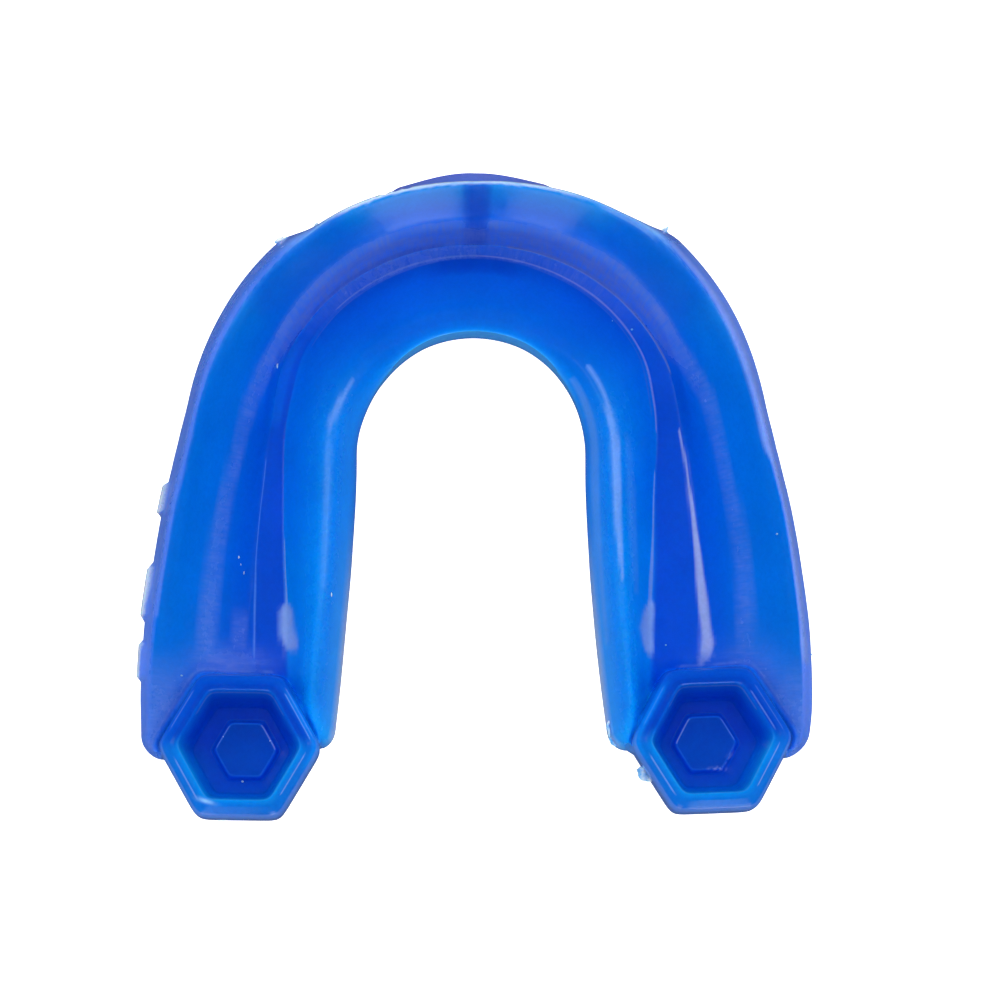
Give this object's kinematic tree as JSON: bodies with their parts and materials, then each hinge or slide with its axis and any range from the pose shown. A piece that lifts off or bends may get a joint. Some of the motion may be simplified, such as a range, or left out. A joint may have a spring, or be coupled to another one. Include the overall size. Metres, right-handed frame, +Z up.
{
  "type": "mouthguard",
  "caption": "U-shaped moulded mouthguard: a tooth trough with a taller outer flange, a low tongue-side wall, a flat underside and a raised hexagonal cup at the end of each arm.",
  "frame": {"origin": "on the flat underside, below the middle of the overall bounding box", "axes": "+Z up, the way the tooth trough opens; +Y towards the lips (the round front of the arch); the arms point to -Y; +X across the arms"},
  "size_m": [0.0659, 0.0634, 0.0145],
  "materials": {
    "moulded_blue": "translucent satin thermoplastic, glossy on folded edges"
  },
  "bodies": {
    "root": {"mouthguard_body": "moulded_blue"}
  },
  "joints": []
}
